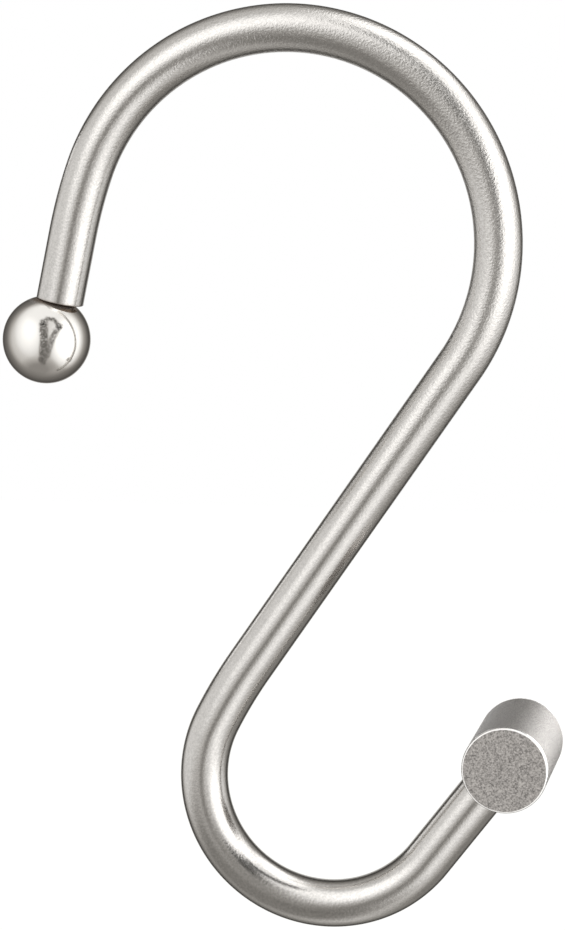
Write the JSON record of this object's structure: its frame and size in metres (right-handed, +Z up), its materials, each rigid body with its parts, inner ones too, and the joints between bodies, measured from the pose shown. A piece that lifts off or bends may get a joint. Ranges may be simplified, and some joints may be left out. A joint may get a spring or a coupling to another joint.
{
  "type": "shower curtain hook",
  "caption": "Open S-shaped hook bent from round wire: the top bend hangs on a curtain rod and ends in a ball, the bottom bend carries the curtain and ends in a short crossbar.",
  "frame": {"origin": "inner crown of the top bend, the point of the hook that rests on the curtain rod", "axes": "+Z up as the hook hangs; the wire lies in the XZ plane with the ball toward -X and the crossbar toward +X; the crossbar and the curtain rod run along Y"},
  "size_m": [0.0469, 0.013, 0.0775],
  "materials": {
    "satin_nickel": "satin nickel plate on steel wire, fine even grain",
    "polished_nickel": "polished nickel plate on steel",
    "blasted_nickel": "bead-blasted nickel plate on steel, with bright rounded rims"
  },
  "bodies": {
    "root": {"hook_wire": "satin_nickel", "ball_tip": "polished_nickel", "crossbar": "blasted_nickel"}
  },
  "joints": []
}
